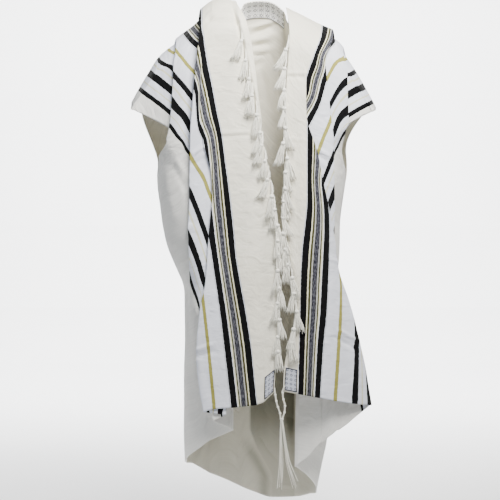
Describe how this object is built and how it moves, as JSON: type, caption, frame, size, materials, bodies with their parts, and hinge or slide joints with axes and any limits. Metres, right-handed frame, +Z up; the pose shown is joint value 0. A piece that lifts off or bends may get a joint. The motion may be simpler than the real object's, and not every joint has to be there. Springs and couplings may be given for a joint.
{
  "type": "tallit prayer shawl, draped as worn with no wearer",
  "caption": "Fringed white wool prayer shawl with dark stripes, held open and hollow over the shoulders, both ends falling in pleats down the front.",
  "frame": {"origin": "middle of the shoulders, inside the neck opening, where the wearer holds the cloth up", "axes": "+Z up, the front faces -Y, +X is the viewer's right"},
  "size_m": [0.6702, 0.3264, 1.3798],
  "materials": {
    "white_wool": "fine plain wool weave with woven black and olive stripes",
    "grey_brocade": "grey and white woven brocade",
    "cream_yarn": "twisted cream wool yarn"
  },
  "bodies": {
    "root": {"front_fall_left": "white_wool", "front_fall_right": "white_wool", "side_drape_left": "white_wool", "side_drape_right": "white_wool", "arm_flap_left": "white_wool", "arm_flap_right": "white_wool", "back_drape": "white_wool", "neckband": "grey_brocade", "corner_patch_front_left": "grey_brocade", "corner_patch_front_right": "grey_brocade", "corner_patch_rear_left": "grey_brocade", "corner_patch_rear_right": "grey_brocade", "fringe_front_left": "cream_yarn", "fringe_front_right": "cream_yarn", "fringe_rear_left": "cream_yarn", "fringe_rear_right": "cream_yarn", "corner_tassel_front_left": "cream_yarn", "corner_tassel_front_right": "cream_yarn", "corner_tassel_rear_left": "cream_yarn", "corner_tassel_rear_right": "cream_yarn"}
  },
  "joints": []
}
